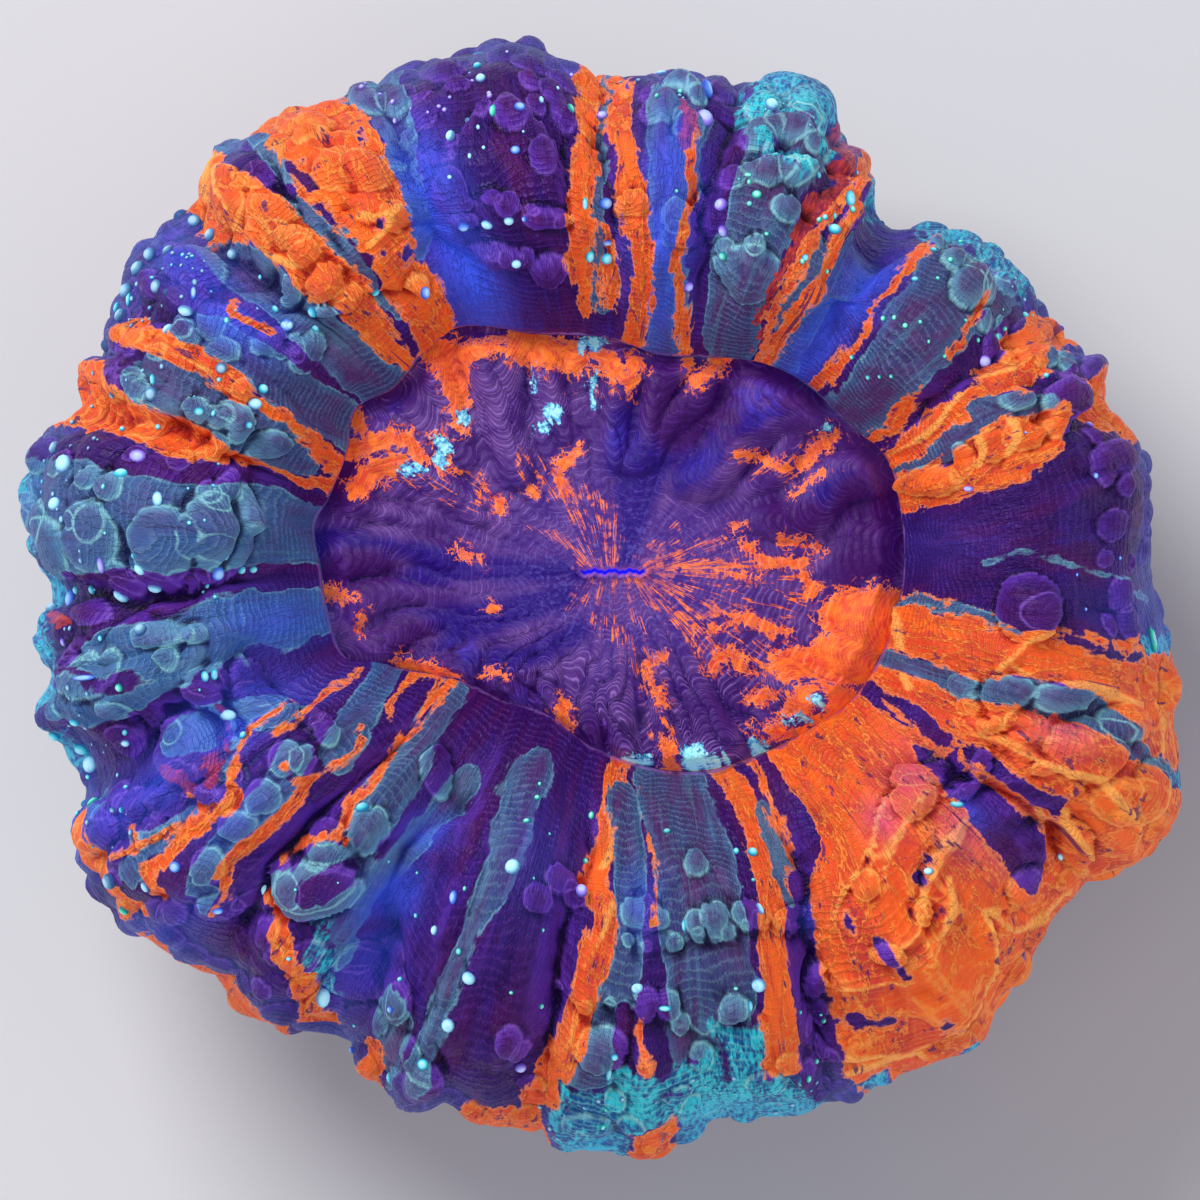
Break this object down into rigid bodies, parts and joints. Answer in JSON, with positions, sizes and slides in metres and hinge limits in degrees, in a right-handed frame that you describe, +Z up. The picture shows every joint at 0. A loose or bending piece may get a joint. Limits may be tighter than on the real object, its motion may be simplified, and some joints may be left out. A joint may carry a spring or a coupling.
{
  "type": "acanthophyllia coral",
  "caption": "Solitary fleshy coral: sunken oral disc with a slit mouth, ringed by a lobed, puffed mantle, on a ribbed stony cone cut off flat to rest on.",
  "frame": {"origin": "middle of the coral's footprint, on the flat cut base of the skeleton", "axes": "+Z up out of the oral disc; +X along the mouth slit"},
  "size_m": [0.0771, 0.0744, 0.041],
  "materials": {
    "flesh": "wet living tissue, radial bands of fluorescent orange, deep violet and grey-teal",
    "skeleton": "bare ribbed aragonite, matt and slightly porous"
  },
  "bodies": {
    "root": {"polyp": "flesh", "skeleton": "skeleton"}
  },
  "joints": []
}
